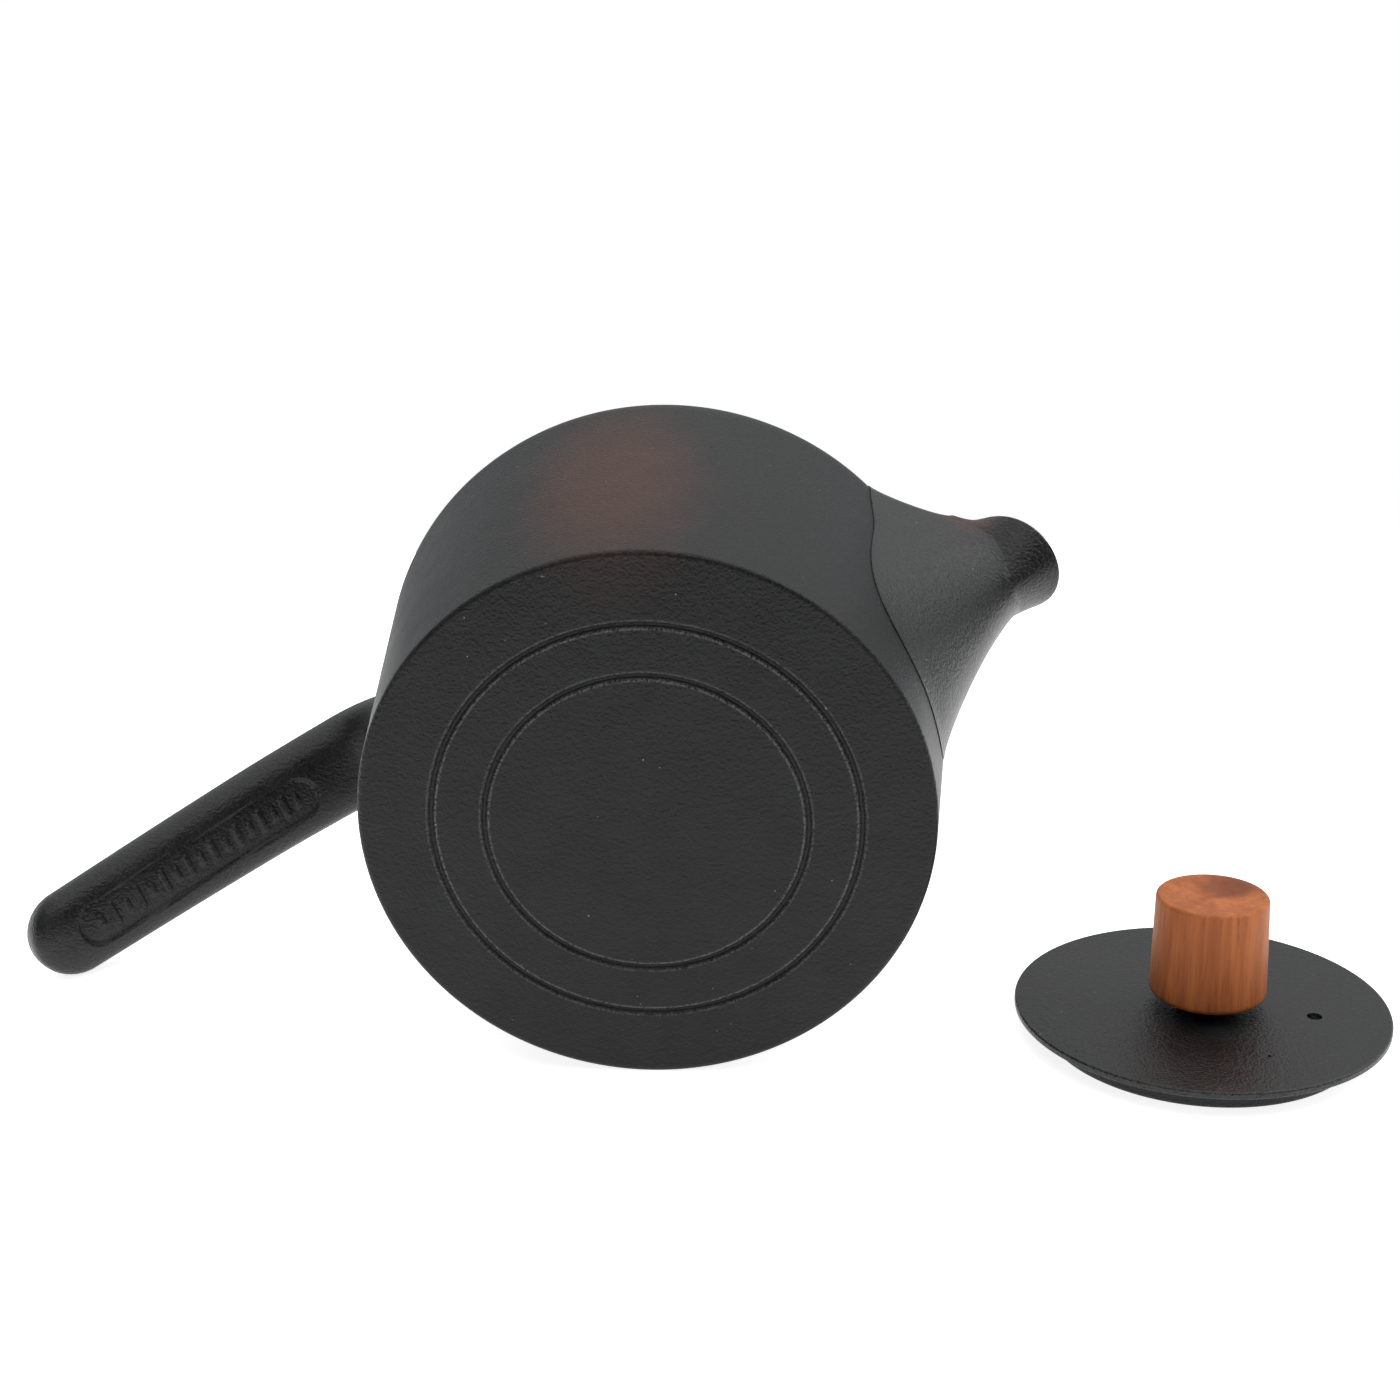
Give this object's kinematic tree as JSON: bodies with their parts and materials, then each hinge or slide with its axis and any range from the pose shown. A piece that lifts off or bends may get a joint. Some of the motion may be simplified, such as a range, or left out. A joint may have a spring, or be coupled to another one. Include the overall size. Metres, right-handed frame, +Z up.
{
  "type": "teapot",
  "caption": "Small cast-iron teapot lying on its side, with a tapered body, beak spout, arched back handle, lift-out tea basket, and its flat lid with a wooden knob laid beside it.",
  "frame": {"origin": "on the surface that the set lies on, under the middle of its box", "axes": "+Z up from the surface, +X from the handle's tip towards the lid, +Y away from the pot's bottom towards its mouth"},
  "size_m": [0.2902, 0.1276, 0.1238],
  "materials": {
    "cast_iron": "matte black sand-cast grain",
    "teak": "oiled, satin",
    "dark_steel": "blackened, satin",
    "stainless": "brushed",
    "stainless_mesh": "fine perforated sheet",
    "silicone": "matte"
  },
  "bodies": {
    "pot": {"body": "cast_iron", "spout": "cast_iron", "handle": "cast_iron"},
    "lid": {"lid": "cast_iron", "knob_collar": "dark_steel", "knob": "teak", "screw_washer": "silicone", "knob_screw": "stainless"},
    "basket": {"basket_rim": "stainless", "basket_wall": "stainless_mesh", "basket_floor": "stainless_mesh"}
  },
  "joints": [
    {"name": "lid_lift", "type": "slide", "parent": "pot", "child": "lid", "axis": [0, 0, 1], "range_m": [0, 0.13]},
    {"name": "basket_lift", "type": "slide", "parent": "pot", "child": "basket", "axis": [0.0547, 0.9935, 0.0997], "range_m": [0, 0.09]}
  ]
}
